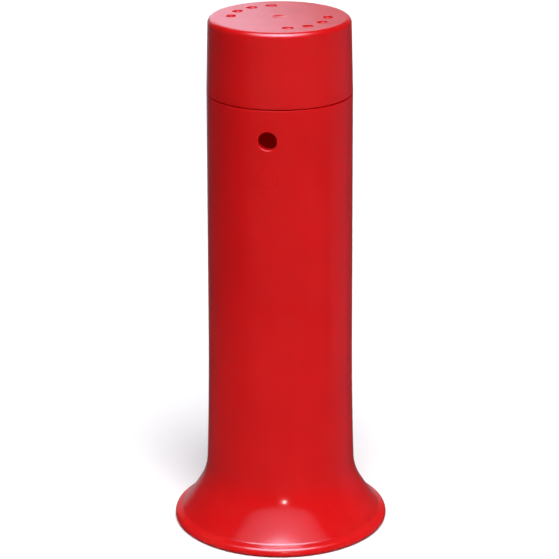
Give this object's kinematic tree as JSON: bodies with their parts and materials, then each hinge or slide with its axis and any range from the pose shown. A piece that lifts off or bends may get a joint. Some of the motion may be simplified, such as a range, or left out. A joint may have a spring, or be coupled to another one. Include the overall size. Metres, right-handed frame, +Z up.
{
  "type": "water filled post barrier",
  "caption": "Round hollow plastic post with a flared foot, filled with water as ballast, closed by a screw cap and emptied by a drain plug.",
  "frame": {"origin": "middle of the base, on the ground", "axes": "+Z up the post, -Y the front with the fill hole, +Y the back with the drain"},
  "size_m": [0.31, 0.31, 0.75],
  "materials": {
    "shell_plastic": "satin moulded polyethylene",
    "neck_plastic": "moulded polyethylene",
    "cap_plastic": "semi-gloss moulded polyethylene",
    "seal_rubber": "matt black rubber",
    "bush_plastic": "black moulded nylon",
    "plug_plastic": "black moulded plastic",
    "pad_rubber": "matt black rubber"
  },
  "bodies": {
    "tank": {"column_shell": "shell_plastic", "neck_ring": "neck_plastic", "drain_bush": "bush_plastic", "foot_pads": "pad_rubber"},
    "cap_ring": {"cap_seal": "seal_rubber"},
    "cap": {"screw_cap": "cap_plastic"},
    "drain_washer": {"drain_seal": "seal_rubber"},
    "drain": {"drain_plug": "plug_plastic"}
  },
  "joints": [
    {"name": "cap_lift", "type": "slide", "parent": "tank", "child": "cap_ring", "axis": [0, 0, 1], "range_m": [0, 0.12]},
    {"name": "cap_turn", "type": "hinge", "parent": "cap_ring", "child": "cap", "pos_m": [0, 0, 0.7], "axis": [0, 0, 1], "range_deg": [0, 720]},
    {"name": "drain_slide", "type": "slide", "parent": "tank", "child": "drain_washer", "axis": [0, 1, 0], "range_m": [0, 0.026]},
    {"name": "drain_turn", "type": "hinge", "parent": "drain_washer", "child": "drain", "pos_m": [0, 0.1415, 0.04], "axis": [0, 1, 0], "range_deg": [0, 2340]}
  ],
  "couplings": [
    {"joint": "cap_lift", "follows": "cap_turn", "m_per_rad": 0.009549},
    {"joint": "drain_slide", "follows": "drain_turn", "m_per_rad": 0.00063661}
  ]
}
